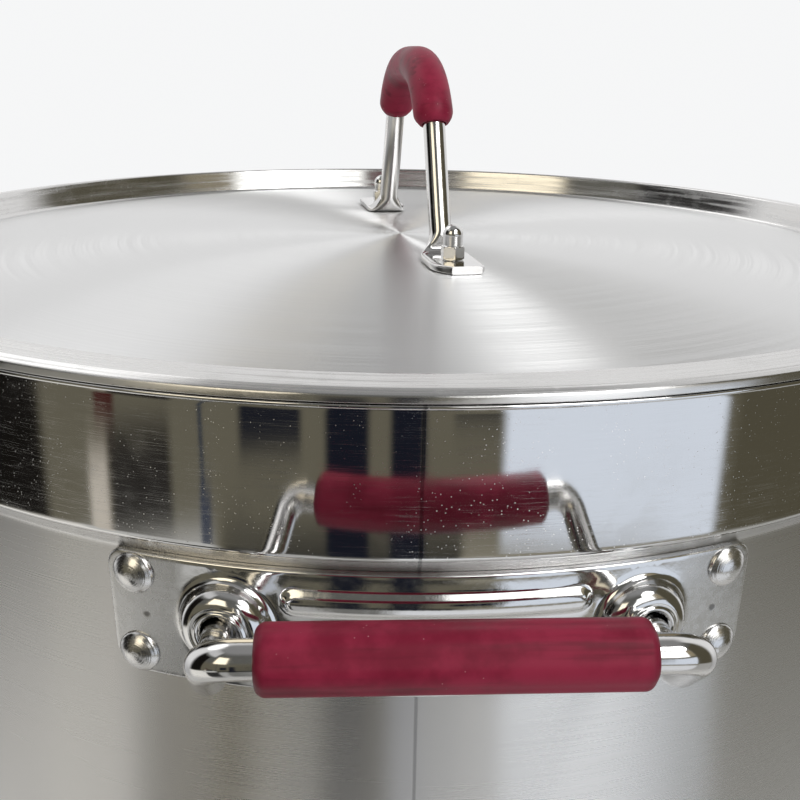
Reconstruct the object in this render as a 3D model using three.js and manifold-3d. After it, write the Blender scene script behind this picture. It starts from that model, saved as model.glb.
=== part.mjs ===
// Commercial stock pot with a lift-off lid, two riveted side handles and a bolted lid handle.
// Millimetres, +Z up. The origin is the middle of the underside of the base. The side handles
// stand at -Y (front) and +Y (back).
import * as THREE from 'three';
import { mergeVertices } from 'three/addons/utils/BufferGeometryUtils.js';
import Module from 'manifold-3d';

const wasm = await Module();
wasm.setup();

// ---- driving dimensions -------------------------------------------------------------------
const GAP = 0.3; // clearance left between two pieces that touch
const TURNS = 60; // facets of the large turned pieces, a vertex on each axis
const FACET = (2 * Math.PI) / TURNS;

const RIM_Z = 450; // height of the pot's rim above the floor it stands on
const RIM_R = 237; // outer radius of the rim flange and of the lid's bead
const WALL = 1.2; // sheet of the pot
const FLANGE_BEND_R = 2.2; // outer radius of the bend from band to flange
const BAND_R = 231; // outer radius of the polished band under the rim
const BAND_DEPTH = 44; // from the rim down to where the band turns inward
const JOGGLE = 5.5; // height of the step between band and barrel
const BARREL_R = 226.3; // outer radius of the barrel
const CORNER_R = 9; // rounded edge between barrel and floor

const CAP_SHEET = 0.8; // steel dish under the base
const CAP_R = 213;
const CORE_THICK = 6; // aluminium disc inside the base
const FLOOR_Z = CAP_SHEET + GAP + CORE_THICK + GAP; // underside of the pot's floor

const LID_SHEET = 1;
const LID_Z = RIM_Z - 0.8; // the lid's own heights are measured from here
const LID_FLAT = 1; // height of the flat middle of the lid's face, where the handle stands
const FLAT_R = 95;
const FACE_R = 223; // edge of the face, at the foot of the wall round it
const FACE_DROP = 8.6; // fall of the face from the flat to its edge
const FACE_RADII = [FLAT_R, 125, 150, 175, 195, 212]; // where the facets of the face meet
const LAND_R = 226; // inner edge of the raised land round the wall
const LAND = 5.5; // height of that edge
const CREST_R = 233.8; // the land turns down into the bead here
const CREST = 4.6;

const PLATE_Z = LID_Z - 67.6; // centre height of a side handle's plate
const PLATE_HALF_HEIGHT = 18.7;
const PLATE_HALF_ANGLE = THREE.MathUtils.degToRad(23.1);
const PLATE_SHEET = 2;
const PLATE_IN = BARREL_R + GAP;
const PLATE_OUT = PLATE_IN + PLATE_SHEET;
const RIVET_ANGLE = 3.5 * FACET; // middle of a facet, so that a head sits flat
const RIVET_DZ = 12.35; // rivets stand this far above and below the plate's centre
const RIVET_SHANK_R = 2.5;
const RIVET_HEAD_R = 6.1;
const RIVET_HEAD_H = 2.9;
const RIVET_TAIL_R = 5; // upset end inside the pot
const RIVET_TAIL_H = 1.6;
const DOME_X = 56.3; // pressed domes, measured along the chord
const DOME_ANGLE = Math.asin(DOME_X / PLATE_OUT);
const DOME_Z = PLATE_Z + 0.8;
const DOME_R = 12;
const DOME_TURNS = 16;
const DOME_HEIGHT = 6.6;
const DOME_HOLE_R = 5.4;
const DOME_COLLAR_R = 6.8;
const RIB_HALF_LENGTH = 41; // pressed rib between the domes
const RIB_HALF_HEIGHT = 3.2;
const RIB_DZ = 9.6;
const RIB_DEPTH = 1.6;

const ROD_R = 4.6; // side handle rod
const GRIP_Y = 269.7; // distance of the grip's axis from the pot's axis
const GRIP_Z = LID_Z - 46;
const GRIP_R = 8.1;
const GRIP_HALF = 44;
const GRIP_TURNS = 18;
const ROD_HALF = 55.2; // half the spacing of the rod's two arms at the grip
const ROD_BEND = 8;
const CRANK_Y = 249; // the arm turns upward at this distance from the pot's axis
const CRANK_BEND = 18;
const ROD_HEAD_R = 7.2; // the rod's end, upset inside its dome
const ROD_HEAD_H = 2.2;

const LID_TURN = THREE.MathUtils.degToRad(8); // the lid stands turned this far on the pot
const LID_HANDLE_OFFSET = 5.2; // the handle's plane passes the lid's centre at this distance
const LID_ROD_R = 4.45;
const LID_GRIP_R = 8.1;
const LID_GRIP_LOW = 52; // height of the sleeve's ends
const NUT_S = 80; // distance of a cap nut from the middle of the handle
const PAD_IN = 70; // the flattened foot, along the handle
const PAD_OUT = 94;
const PAD_HALF_WIDTH = 9.7;
const PAD_THICK = 3.1;
const LEG_FOOT = 59; // the leg's axis where it meets the foot
const LEG_LEAN = THREE.MathUtils.degToRad(21);
const ARCH_TOP = 73.8; // height of the handle's axis at the top
const ARCH_R = 38;
const FOOT_BEND_R = 5;
const BOLT_R = 2.5;
const BOLT_HEAD_R = 4.7;
const WASHER_R = 7.5;
const WASHER_THICK = 1;
const NUT_FLATS = 8.2;
const NUT_HEX_H = 5.2;
const NUT_TOP = 13.2;
const NUT_BORE = 9; // depth of the blind hole in the nut

const STEEL = { color: 0xb9b9b5, roughness: 0.38, metalness: 1 };
const POLISHED = { color: 0xcfcfca, roughness: 0.12, metalness: 1 };
const ALUMINIUM = { color: 0xb4b6b8, roughness: 0.5, metalness: 1 };
const SILICONE = { color: 0x96304a, roughness: 0.55, metalness: 0 };

// ---- helpers --------------------------------------------------------------------------------
const v2 = (x, y) => new THREE.Vector2(x, y);
const v3 = (x, y, z) => new THREE.Vector3(x, y, z);

// a body turned about +Z from the points [radius, height] of its half-section
function turned(points, segments = TURNS) {
  const outline = points.map(([r, z]) => v2(r, z));
  if (THREE.ShapeUtils.area(outline) < 0) outline.reverse();
  const closed = outline[0].x > 0 ? [...outline, outline[0].clone()] : outline;
  const geometry = new THREE.LatheGeometry(closed, segments);
  geometry.rotateX(Math.PI / 2);
  return geometry;
}

function toManifold(geometry) {
  const bare = geometry.clone();
  bare.deleteAttribute('normal');
  bare.deleteAttribute('uv');
  const merged = mergeVertices(bare, 1e-4);
  const triVerts = new Uint32Array(merged.index.array);
  const vertProperties = new Float32Array(merged.attributes.position.array);
  const solid = new wasm.Manifold(new wasm.Mesh({ numProp: 3, vertProperties, triVerts }));
  if (solid.volume() > 0) return solid;
  for (let i = 0; i < triVerts.length; i += 3) {
    [triVerts[i], triVerts[i + 1]] = [triVerts[i + 1], triVerts[i]];
  }
  return new wasm.Manifold(new wasm.Mesh({ numProp: 3, vertProperties, triVerts }));
}

function fromManifold(solid) {
  const mesh = solid.getMesh();
  const geometry = new THREE.BufferGeometry();
  const count = mesh.vertProperties.length / mesh.numProp;
  const positions = new Float32Array(count * 3);
  for (let i = 0; i < count; i += 1) {
    for (let axis = 0; axis < 3; axis += 1) {
      positions[3 * i + axis] = mesh.vertProperties[mesh.numProp * i + axis];
    }
  }
  geometry.setAttribute('position', new THREE.BufferAttribute(positions, 3));
  geometry.setIndex(Array.from(mesh.triVerts));
  geometry.computeVertexNormals();
  return geometry;
}

// points on an arc in a plane, from angle a to angle b in degrees, ends included
function arc(cx, cy, r, a, b, steps) {
  const points = [];
  for (let i = 0; i <= steps; i += 1) {
    const t = THREE.MathUtils.degToRad(a + ((b - a) * i) / steps);
    points.push([cx + r * Math.cos(t), cy + r * Math.sin(t)]);
  }
  return points;
}

// a path whose steps fall on its own points, so that bends get more steps than straights
class PointPath extends THREE.Curve {
  constructor(points) {
    super();
    this.points = points;
  }

  getPoint(t, target = v3(0, 0, 0)) {
    const last = this.points.length - 1;
    const place = Math.min(Math.max(t, 0), 1) * last;
    const i = Math.min(Math.floor(place), last - 1);
    return target.lerpVectors(this.points[i], this.points[i + 1], place - i);
  }

  getUtoTmapping(u) {
    return u;
  }
}

// replaces each inner corner of a polyline by an arc of the given radius
function rounded(corners, radii, stepAngle = 15) {
  const points = [corners[0].clone()];
  for (let i = 1; i < corners.length - 1; i += 1) {
    const back = corners[i - 1].clone().sub(corners[i]).normalize();
    const ahead = corners[i + 1].clone().sub(corners[i]).normalize();
    const half = back.angleTo(ahead) / 2;
    const turn = Math.PI - 2 * half;
    const centre = back.clone().add(ahead).normalize().multiplyScalar(radii[i - 1] / Math.sin(half));
    centre.add(corners[i]);
    const reach = radii[i - 1] / Math.tan(half);
    const start = corners[i].clone().addScaledVector(back, reach).sub(centre);
    const axis = back.clone().cross(ahead).normalize().negate();
    const steps = Math.max(2, Math.round(THREE.MathUtils.radToDeg(turn) / stepAngle));
    for (let k = 0; k <= steps; k += 1) {
      points.push(start.clone().applyAxisAngle(axis, (turn * k) / steps).add(centre));
    }
  }
  points.push(corners[corners.length - 1].clone());
  return points;
}

function disc(radius, segments) {
  return new THREE.Shape(arc(0, 0, radius, 0, 360, segments).slice(0, -1).map(([x, y]) => v2(x, y)));
}

// a bar of the given section swept along points
function swept(shape, points) {
  const extrudePath = new PointPath(points);
  return new THREE.ExtrudeGeometry(shape, { steps: points.length - 1, extrudePath, curveSegments: 1 });
}

// a flat outline given a thickness from z = low to z = high
function slab(shape, low, high, curveSegments = 4) {
  const settings = { depth: high - low, bevelEnabled: false, curveSegments };
  const geometry = new THREE.ExtrudeGeometry(shape, settings);
  geometry.translate(0, 0, low);
  return geometry;
}

function material(look) {
  return new THREE.MeshStandardMaterial(look);
}

function piece(name, geometry, look) {
  const mesh = new THREE.Mesh(geometry, material(look));
  mesh.name = name;
  return mesh;
}

// ---- pot ------------------------------------------------------------------------------------
// half-section of the pot's sheet: inset is 0 for the outer face and WALL for the inner face
function potFace(inset) {
  const bandR = BAND_R - inset;
  const barrelR = BARREL_R - inset;
  const bandFoot = RIM_Z - BAND_DEPTH + 0.4 * inset;
  const bendR = FLANGE_BEND_R + inset;
  const step = [0, 1, 2, 3].map((k) => {
    const share = (1 + Math.cos((Math.PI * k) / 3)) / 2;
    return [barrelR + (bandR - barrelR) * share, bandFoot - (JOGGLE * k) / 3];
  });
  return [
    [RIM_R, RIM_Z - WALL + inset],
    ...arc(bandR + bendR, RIM_Z - WALL - FLANGE_BEND_R, bendR, 90, 180, 3),
    ...step,
    ...arc(BARREL_R - CORNER_R, FLOOR_Z + CORNER_R, CORNER_R - inset, 0, -90, 4),
  ];
}

function potShell() {
  const outer = potFace(0);
  const inner = potFace(WALL).reverse();
  const outline = [[0, FLOOR_Z + WALL], ...inner, ...outer, [0, FLOOR_Z]];
  let solid = toManifold(turned(outline));
  for (const [angle, z] of rivetPlaces()) {
    const hole = radialRod(angle, z, RIVET_SHANK_R + GAP, BARREL_R - 10, PLATE_OUT);
    solid = solid.subtract(toManifold(hole));
  }
  return piece('pot_shell', fromManifold(solid), STEEL);
}

function baseCore() {
  const low = CAP_SHEET + GAP;
  const high = low + CORE_THICK;
  const r = CAP_R - CAP_SHEET - GAP;
  const outline = [[0, high], [r - 1, high], [r, high - 1], [r, low + 2], [r - 2, low], [0, low]];
  return piece('base_core', turned(outline), ALUMINIUM);
}

function baseCap() {
  const high = FLOOR_Z - GAP;
  const round = 2.4;
  const inner = CAP_R - CAP_SHEET;
  const outline = [
    [0, CAP_SHEET], [inner - round + 0.6, CAP_SHEET], [inner, round], [inner, high],
    [CAP_R, high], [CAP_R, round], [CAP_R - 0.3 * round, 0.3 * round], [CAP_R - round, 0], [0, 0],
  ];
  return piece('base_cap', turned(outline), STEEL);
}

// ---- side handles ---------------------------------------------------------------------------
// places of the rivets of both handles: angle about +Z from -Y, and height
function rivetPlaces() {
  const places = [];
  for (const side of [0, Math.PI]) {
    for (const sign of [-1, 1]) {
      for (const dz of [RIVET_DZ, -RIVET_DZ]) places.push([side + sign * RIVET_ANGLE, PLATE_Z + dz]);
    }
  }
  return places;
}

// turns a geometry whose axis is +Z so that it points radially outward at an angle from -Y
function stand(geometry, angle, z) {
  geometry.rotateX(Math.PI / 2);
  geometry.rotateZ(angle);
  geometry.translate(0, 0, z);
  return geometry;
}

function radialRod(angle, z, r, from, to, segments = 12) {
  const rod = new THREE.CylinderGeometry(r, r, to - from, segments);
  rod.rotateX(Math.PI / 2);
  rod.translate(0, 0, (from + to) / 2);
  return stand(rod, angle, z);
}

// outline of the plate seen from the front
function plateOutline() {
  const w = PLATE_OUT * Math.sin(PLATE_HALF_ANGLE);
  const h = PLATE_HALF_HEIGHT;
  const high = 5;
  const low = 8;
  const shape = new THREE.Shape();
  shape.moveTo(-w + high, h);
  shape.quadraticCurveTo(-w, h, -w, h - high);
  shape.lineTo(-w + 0.8, -h + low);
  shape.quadraticCurveTo(-w + 1, -h, -w + low + 1, -h);
  shape.lineTo(w - low - 1, -h);
  shape.quadraticCurveTo(w - 1, -h, w - 0.8, -h + low);
  shape.lineTo(w, h - high);
  shape.quadraticCurveTo(w, h, w - high, h);
  shape.closePath();
  return shape;
}

function stadium(halfLength, halfHeight) {
  const flat = halfLength - halfHeight;
  const right = arc(flat, 0, halfHeight, 90, -90, 6);
  const left = arc(-flat, 0, halfHeight, 270, 90, 6);
  return new THREE.Shape([...right, ...left].map(([x, y]) => v2(x, y)));
}

// the part of a turned ring that lies in front of an outline standing in the XZ plane
function frontOf(shape, rIn, rOut, z, reach) {
  const prism = slab(shape, BARREL_R / 2, RIM_R);
  prism.rotateX(Math.PI / 2);
  prism.translate(0, 0, z);
  const ring = turned([[rIn, z + reach], [rOut, z + reach], [rOut, z - reach], [rIn, z - reach]]);
  return toManifold(ring).intersect(toManifold(prism));
}

// pressed dome with its collar, along +Z from the plate's outer face at z = 0
function dome() {
  const inner = DOME_R - 1.8;
  const top = DOME_HEIGHT;
  return turned([
    [DOME_COLLAR_R, top], [DOME_COLLAR_R + 0.6, top - 0.7], [9, top - 0.7], [11, top - 1.9],
    [DOME_R, top - 4], [DOME_R, -0.2], [DOME_R, -1.2], [inner, -1.2], [inner - 0.4, top - 4],
    [inner - 1.9, top - 2.4], [DOME_HOLE_R, top - 2], [DOME_HOLE_R, top - 0.6],
  ], DOME_TURNS);
}

function handlePlate(name) {
  let plate = frontOf(plateOutline(), PLATE_IN, PLATE_OUT, PLATE_Z, PLATE_HALF_HEIGHT + 2);
  const ribOutline = stadium(RIB_HALF_LENGTH, RIB_HALF_HEIGHT);
  const ribTop = PLATE_OUT + RIB_DEPTH;
  plate = plate.add(frontOf(ribOutline, PLATE_OUT - 0.6, ribTop, PLATE_Z + RIB_DZ, RIB_HALF_HEIGHT + 2));
  for (const sign of [-1, 1]) {
    const angle = sign * DOME_ANGLE;
    const opening = radialRod(angle, DOME_Z, DOME_R - 1, BARREL_R - 10, PLATE_OUT + 3, DOME_TURNS);
    plate = plate.subtract(toManifold(opening));
    const cup = dome();
    cup.translate(0, 0, PLATE_OUT);
    plate = plate.add(toManifold(stand(cup, angle, DOME_Z)));
    for (const dz of [RIVET_DZ, -RIVET_DZ]) {
      const hole = radialRod(sign * RIVET_ANGLE, PLATE_Z + dz, RIVET_SHANK_R + GAP, BARREL_R - 10, RIM_R);
      plate = plate.subtract(toManifold(hole));
    }
  }
  return piece(name, fromManifold(plate), POLISHED);
}

// rod cranked upward outside each dome, bent twice for the grip, its ends upset inside the domes
function handleRod(name) {
  const outward = v3(-Math.sin(DOME_ANGLE), -Math.cos(DOME_ANGLE), 0);
  const seat = outward.clone().multiplyScalar(PLATE_OUT + 0.5).setZ(DOME_Z);
  const holeX = -(PLATE_OUT + DOME_HEIGHT) * Math.sin(DOME_ANGLE);
  const half = [
    v3(holeX, seat.y - 1, DOME_Z - 0.6),
    v3(holeX + 0.5, -CRANK_Y, DOME_Z + 1.8),
    v3(-ROD_HALF, -GRIP_Y, GRIP_Z),
  ];
  const mirrored = half.map((p) => v3(-p.x, p.y, p.z)).reverse();
  const path = rounded([...half, ...mirrored], [CRANK_BEND, ROD_BEND, ROD_BEND, CRANK_BEND]);
  let rod = toManifold(swept(disc(ROD_R, 12), path));
  for (const sign of [-1, 1]) {
    const head = new THREE.CylinderGeometry(ROD_HEAD_R, ROD_HEAD_R, ROD_HEAD_H, 12);
    head.translate(0, ROD_HEAD_H / 2, 0);
    const direction = v3(-sign * outward.x, outward.y, 0);
    head.applyQuaternion(new THREE.Quaternion().setFromUnitVectors(v3(0, 1, 0), direction));
    head.translate(-sign * seat.x, seat.y, seat.z);
    rod = rod.add(toManifold(head));
  }
  return piece(name, fromManifold(rod), POLISHED);
}

function handleGrip(name) {
  const bore = ROD_R + GAP;
  const r = GRIP_R;
  const h = GRIP_HALF;
  const end = [[bore, h], [r - 2.4, h], [r - 0.7, h - 1], [r, h - 3]];
  const otherEnd = end.map(([radius, z]) => [radius, -z]).reverse();
  const geometry = turned([...end, ...otherEnd], GRIP_TURNS);
  geometry.rotateY(Math.PI / 2);
  geometry.translate(0, -GRIP_Y, GRIP_Z);
  return piece(name, geometry, SILICONE);
}

// solid rivet through plate and pot wall: domed head outside, flat upset head inside
function rivet(name, angle, z) {
  const mid = Math.cos(FACET / 2);
  const outFace = PLATE_OUT * mid + GAP;
  const inFace = (BARREL_R - WALL) * mid - GAP;
  const crown = outFace + RIVET_HEAD_H;
  const geometry = turned([
    [0, crown], [2.6, crown - 0.3], [4.9, crown - 1.3], [RIVET_HEAD_R, outFace + 0.4],
    [RIVET_HEAD_R, outFace], [RIVET_SHANK_R, outFace], [RIVET_SHANK_R, inFace],
    [RIVET_TAIL_R, inFace], [RIVET_TAIL_R - 0.6, inFace - RIVET_TAIL_H + 0.4], [0, inFace - RIVET_TAIL_H],
  ], 12);
  return piece(name, stand(geometry, angle, z), POLISHED);
}

function sideHandle(side) {
  const group = new THREE.Group();
  group.add(handlePlate(`${side}_handle_plate`));
  group.add(handleRod(`${side}_handle_rod`));
  group.add(handleGrip(`${side}_handle_grip`));
  for (const [horizontal, sign] of [['left', -1], ['right', 1]]) {
    for (const [vertical, dz] of [['upper', RIVET_DZ], ['lower', -RIVET_DZ]]) {
      group.add(rivet(`${side}_rivet_${horizontal}_${vertical}`, sign * RIVET_ANGLE, PLATE_Z + dz));
    }
  }
  return group;
}

// ---- lid ------------------------------------------------------------------------------------
// face that sinks into the mouth, wall, raised land, and a curled bead that rests on the flange
// height of the lid's upper face at a radius: flat in the middle, falling towards the wall
function faceHeight(r) {
  return LID_FLAT - FACE_DROP * (Math.max(r - FLAT_R, 0) / (FACE_R - FLAT_R)) ** 2;
}

function lidShell() {
  const t = LID_SHEET;
  const edge = faceHeight(FACE_R);
  const rest = RIM_Z - LID_Z + GAP;
  const face = [0, ...FACE_RADII].map((r) => [r, faceHeight(r)]);
  const upperFace = [
    ...face, [FACE_R - 1.2, edge + 0.1], [FACE_R + 0.3, edge + 1.2],
    [LAND_R - 1.2, LAND - 1.3], [LAND_R - 0.3, LAND - 0.3], [LAND_R + 0.8, LAND],
    [CREST_R, CREST], [CREST_R + 2, CREST - 0.7],
  ];
  const curledEdge = [[RIM_R, 2.4], [RIM_R, rest + 0.3], [RIM_R - 0.5, rest], [RIM_R - 1.2, rest + 0.4]];
  const lowerFace = [
    [CREST_R + 1.1, 2.9], [CREST_R - 0.2, CREST - t], [LAND_R + 1.1, LAND - t - 0.1],
    [LAND_R + 0.2, LAND - 1.9], [FACE_R + 1.4, edge + 0.9], [FACE_R + 0.4, edge - 0.5],
    [FACE_R - 1, edge - t],
    ...face.map(([r, z]) => [r, z - t]).reverse(),
  ];
  const outline = [...upperFace, ...curledEdge, ...lowerFace];
  let solid = toManifold(turned(outline));
  for (const sign of [-1, 1]) {
    const hole = new THREE.CylinderGeometry(BOLT_R + GAP, BOLT_R + GAP, 8, 12);
    hole.rotateX(Math.PI / 2);
    hole.translate(LID_HANDLE_OFFSET, sign * NUT_S, 0);
    solid = solid.subtract(toManifold(hole));
  }
  return piece('lid_shell', fromManifold(solid), STEEL);
}


// the handle's axis, from toe to toe over the arch
function archPath() {
  const foot = v3(0, -LEG_FOOT, LID_FLAT + 8);
  const shoulderHeight = ARCH_TOP - foot.z;
  const shoulder = v3(0, -LEG_FOOT + shoulderHeight * Math.tan(LEG_LEAN), ARCH_TOP);
  const toe = v3(0, -PAD_IN - 1, LID_FLAT + GAP + PAD_THICK / 2 + 0.3);
  const corners = [toe, foot, shoulder];
  const mirrored = corners.map((p) => v3(p.x, -p.y, p.z)).reverse();
  return rounded([...corners, ...mirrored], [FOOT_BEND_R, ARCH_R, ARCH_R, FOOT_BEND_R], 12);
}

function lidHandleRod() {
  let rod = toManifold(swept(disc(LID_ROD_R, 12), archPath()));
  const low = LID_FLAT + GAP;
  rod = rod.trimByPlane([0, 0, 1], low);
  for (const sign of [-1, 1]) {
    const pad = slab(padOutline(), low, low + PAD_THICK, 3);
    const hole = new THREE.CylinderGeometry(BOLT_R + GAP, BOLT_R + GAP, 20, 12);
    hole.rotateX(Math.PI / 2);
    hole.translate(0, -NUT_S, 0);
    const turn = sign > 0 ? Math.PI : 0;
    pad.rotateZ(turn);
    hole.rotateZ(turn);
    rod = rod.add(toManifold(pad)).subtract(toManifold(hole));
  }
  const geometry = fromManifold(rod);
  geometry.translate(LID_HANDLE_OFFSET, 0, 0);
  return piece('lid_handle_rod', geometry, POLISHED);
}

// flattened foot: a neck from the leg, a round pad at the nut, and a squared toe
function padOutline() {
  const w = PAD_HALF_WIDTH;
  const neck = LID_ROD_R - 0.4;
  const shape = new THREE.Shape();
  shape.moveTo(-neck, -LEG_FOOT - 1);
  shape.lineTo(-neck, -PAD_IN + 1);
  shape.quadraticCurveTo(-w, -PAD_IN - 2, -w, -NUT_S);
  shape.quadraticCurveTo(-w, -PAD_OUT, -w + 8, -PAD_OUT);
  shape.lineTo(w - 2.5, -PAD_OUT);
  shape.quadraticCurveTo(w, -PAD_OUT, w, -PAD_OUT + 2.5);
  shape.lineTo(w, -NUT_S);
  shape.quadraticCurveTo(w, -PAD_IN - 2, neck, -PAD_IN + 1);
  shape.lineTo(neck, -LEG_FOOT - 1);
  shape.closePath();
  return shape;
}

// sleeve over the arch, from LID_GRIP_LOW on one leg to the same height on the other
function lidHandleGrip() {
  const path = archPath().filter((p) => p.z > LID_GRIP_LOW);
  const lead = path[0].clone();
  lead.y -= (path[0].z - LID_GRIP_LOW) * Math.tan(LEG_LEAN);
  lead.z = LID_GRIP_LOW;
  path.unshift(lead);
  path.push(v3(lead.x, -lead.y, lead.z));
  const ring = disc(LID_GRIP_R, 16);
  ring.holes.push(disc(LID_ROD_R + 0.5, 12));
  const geometry = swept(ring, path);
  geometry.translate(LID_HANDLE_OFFSET, 0, 0);
  return piece('lid_handle_grip', geometry, SILICONE);
}

// cap nut with a blind hole for the bolt
function capNut(name, y) {
  const low = LID_FLAT + GAP + PAD_THICK + GAP;
  const hex = NUT_FLATS / 2 / Math.cos(Math.PI / 6);
  const body = new THREE.CylinderGeometry(hex, hex, NUT_HEX_H, 6);
  body.rotateX(Math.PI / 2);
  body.translate(0, 0, low + NUT_HEX_H / 2);
  const r = NUT_FLATS / 2 - 0.2;
  const cap = turned([
    [0, low + NUT_TOP], [r * 0.5, low + NUT_TOP - 0.6], [r * 0.87, low + NUT_TOP - 2.1],
    [r, low + NUT_TOP - 4.2], [r, low + NUT_HEX_H - 0.5], [0, low + NUT_HEX_H - 0.5],
  ], 12);
  const bore = new THREE.CylinderGeometry(BOLT_R + GAP, BOLT_R + GAP, 2 * NUT_BORE, 12);
  bore.rotateX(Math.PI / 2);
  bore.translate(0, 0, low);
  const nut = toManifold(body).add(toManifold(cap)).subtract(toManifold(bore));
  const geometry = fromManifold(nut);
  geometry.translate(LID_HANDLE_OFFSET, y, 0);
  return piece(name, geometry, POLISHED);
}

// bolt from below: pan head under the washer, shank up into the cap nut
function bolt(name, y) {
  const under = LID_FLAT - LID_SHEET - GAP - WASHER_THICK - GAP;
  const tip = LID_FLAT + GAP + PAD_THICK + GAP + NUT_BORE - 0.6;
  const geometry = turned([
    [0, tip], [BOLT_R - 0.5, tip], [BOLT_R, tip - 0.5], [BOLT_R, under],
    [BOLT_HEAD_R, under], [BOLT_HEAD_R, under - 1.6], [BOLT_HEAD_R - 1.3, under - 3], [0, under - 3.2],
  ], 12);
  geometry.translate(LID_HANDLE_OFFSET, y, 0);
  return piece(name, geometry, STEEL);
}

function washer(name, y) {
  const high = LID_FLAT - LID_SHEET - GAP;
  const inner = BOLT_R + GAP;
  const low = high - WASHER_THICK;
  const geometry = turned([[inner, high], [WASHER_R, high], [WASHER_R, low], [inner, low]], 16);
  geometry.translate(LID_HANDLE_OFFSET, y, 0);
  return piece(name, geometry, STEEL);
}

function lid() {
  const group = new THREE.Group();
  group.add(lidShell(), lidHandleRod(), lidHandleGrip());
  for (const [place, y] of [['front', -NUT_S], ['back', NUT_S]]) {
    group.add(capNut(`lid_cap_nut_${place}`, y));
    group.add(bolt(`lid_bolt_${place}`, y));
    group.add(washer(`lid_washer_${place}`, y));
  }
  group.position.z = LID_Z;
  group.rotation.z = LID_TURN;
  return group;
}

// ---- assembly -------------------------------------------------------------------------------
const pot = new THREE.Group();
pot.add(potShell(), baseCore(), baseCap(), sideHandle('front'));
const back = sideHandle('back');
back.rotation.z = Math.PI;
pot.add(back, lid());

export default pot;
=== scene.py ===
"""Stock pot: fine meshes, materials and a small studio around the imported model.

Shapes are worked out in millimetres in the model's frame (+Z up, the front handle at -Y) and
turned into metres when an object is made. Materials and the studio are in metres.
"""
import math

import bmesh
import bpy
from mathutils import Matrix, Quaternion, Vector
from mathutils.geometry import delaunay_2d_cdt


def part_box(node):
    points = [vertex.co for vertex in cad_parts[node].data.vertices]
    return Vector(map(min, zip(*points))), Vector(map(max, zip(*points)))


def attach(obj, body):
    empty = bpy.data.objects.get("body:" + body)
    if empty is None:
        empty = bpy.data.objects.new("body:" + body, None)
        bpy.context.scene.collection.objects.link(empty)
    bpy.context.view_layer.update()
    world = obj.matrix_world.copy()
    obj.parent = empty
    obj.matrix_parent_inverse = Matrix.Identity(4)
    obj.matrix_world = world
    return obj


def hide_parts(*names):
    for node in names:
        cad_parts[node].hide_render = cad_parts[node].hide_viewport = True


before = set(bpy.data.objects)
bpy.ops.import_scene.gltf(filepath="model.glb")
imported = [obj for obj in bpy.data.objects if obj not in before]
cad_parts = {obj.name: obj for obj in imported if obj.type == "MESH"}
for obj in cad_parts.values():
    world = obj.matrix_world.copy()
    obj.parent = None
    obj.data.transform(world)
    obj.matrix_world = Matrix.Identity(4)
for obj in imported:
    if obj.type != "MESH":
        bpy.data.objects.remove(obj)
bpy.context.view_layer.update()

# ---- driving dimensions, millimetres --------------------------------------------------------
MM = 0.001  # in metres
GAP = 0.3  # clearance between two pieces that touch
SEGMENTS = 288  # faces round the pot and the lid

# pot
RIM_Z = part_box("pot_shell")[1].z / MM
RIM_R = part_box("pot_shell")[1].x / MM
FLOOR_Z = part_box("pot_shell")[0].z / MM
WALL = 1.2
FLANGE_BEND_R = 2.2
FLANGE_EDGE_R = 0.5
BAND_R = 231.0
BAND_DEPTH = 44.0
POLISH_BELOW_BAND = 1.2
JOGGLE = 5.5  # height of the step in from the band to the barrel
JOGGLE_HIGH_R = 1.4
JOGGLE_LOW_R = 2.6
JOGGLE_INSIDE_UP = 0.4  # on the inside the step stands this much higher
BARREL_R = 226.3
CORNER_R = 9.0
SEAM_ANGLE = math.radians(-1.3)  # the pot's weld, about +Z from -Y
SEAM_HALF_WIDTH = 0.2
SEAM_FADE = 0.7  # half width at which the weld's colour has gone

# dish under the pot
CAP_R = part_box("base_cap")[1].x / MM
CAP_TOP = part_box("base_cap")[1].z / MM
CAP_SHEET = 0.8
CAP_CORNER_R = 2.4

# lid, with its heights above LID_Z
LID_Z = RIM_Z - 0.8
LID_SHEET = 1.0
LID_FLAT = 1.0
FLAT_R = 95.0
FACE_R = 223.0
FACE_DROP = 8.6
LAND_R = 226.0
LAND = 5.5
LAND_FADE = 1.5  # width over which the land turns a little duller
CREST_R = 233.8
CREST = 4.6

# plate of a side handle
PLATE_Z = LID_Z - 67.6
PLATE_HALF_HEIGHT = 18.7
PLATE_HALF_ANGLE = math.radians(23.1)
PLATE_LEAN = 1.0  # how much shorter each half is below
PLATE_UPPER_R = 5.0
PLATE_LOWER_R = 8.0
PLATE_SHEET = 2.0
PLATE_OUT = BARREL_R + GAP + PLATE_SHEET
PLATE_PITCH = 3.0  # between mesh points on its flat parts
DOME_ANGLE = math.asin(56.3 / PLATE_OUT)
DOME_Z = PLATE_Z + 0.8
DOME_HEIGHT = 6.6
DOME_HOLE_R = 5.4
RIB_HALF_LENGTH = 41.0
RIB_HALF_HEIGHT = 3.2
RIB_FLAT = RIB_HALF_LENGTH - RIB_HALF_HEIGHT
RIB_DZ = 9.6
RIB_DEPTH = 1.6
SATIN_FROM = 66.0  # the plate is polished inside this distance from its middle
SATIN_BY = 71.0
SPOT_WELD_X = 79.0  # pits of the plate's spot welds, between the rivets
SPOT_WELD_R = 1.3
SPOT_WELD_FADE = 2.1

# rivets
RIVET_ANGLE = math.radians(21)
RIVET_DZ = 12.35
RIVET_SHANK_R = 2.5
RIVET_HOLE_R = RIVET_SHANK_R + GAP
RIVET_HEAD_R = 6.1
RIVET_HEAD_H = 2.9
RIVET_HEAD_EDGE = 0.5
RIVET_TAIL_R = 5.0
RIVET_TAIL_H = 1.2
RIVET_SAG = math.cos(math.radians(3))  # how far the round sheet falls away under a head

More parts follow.
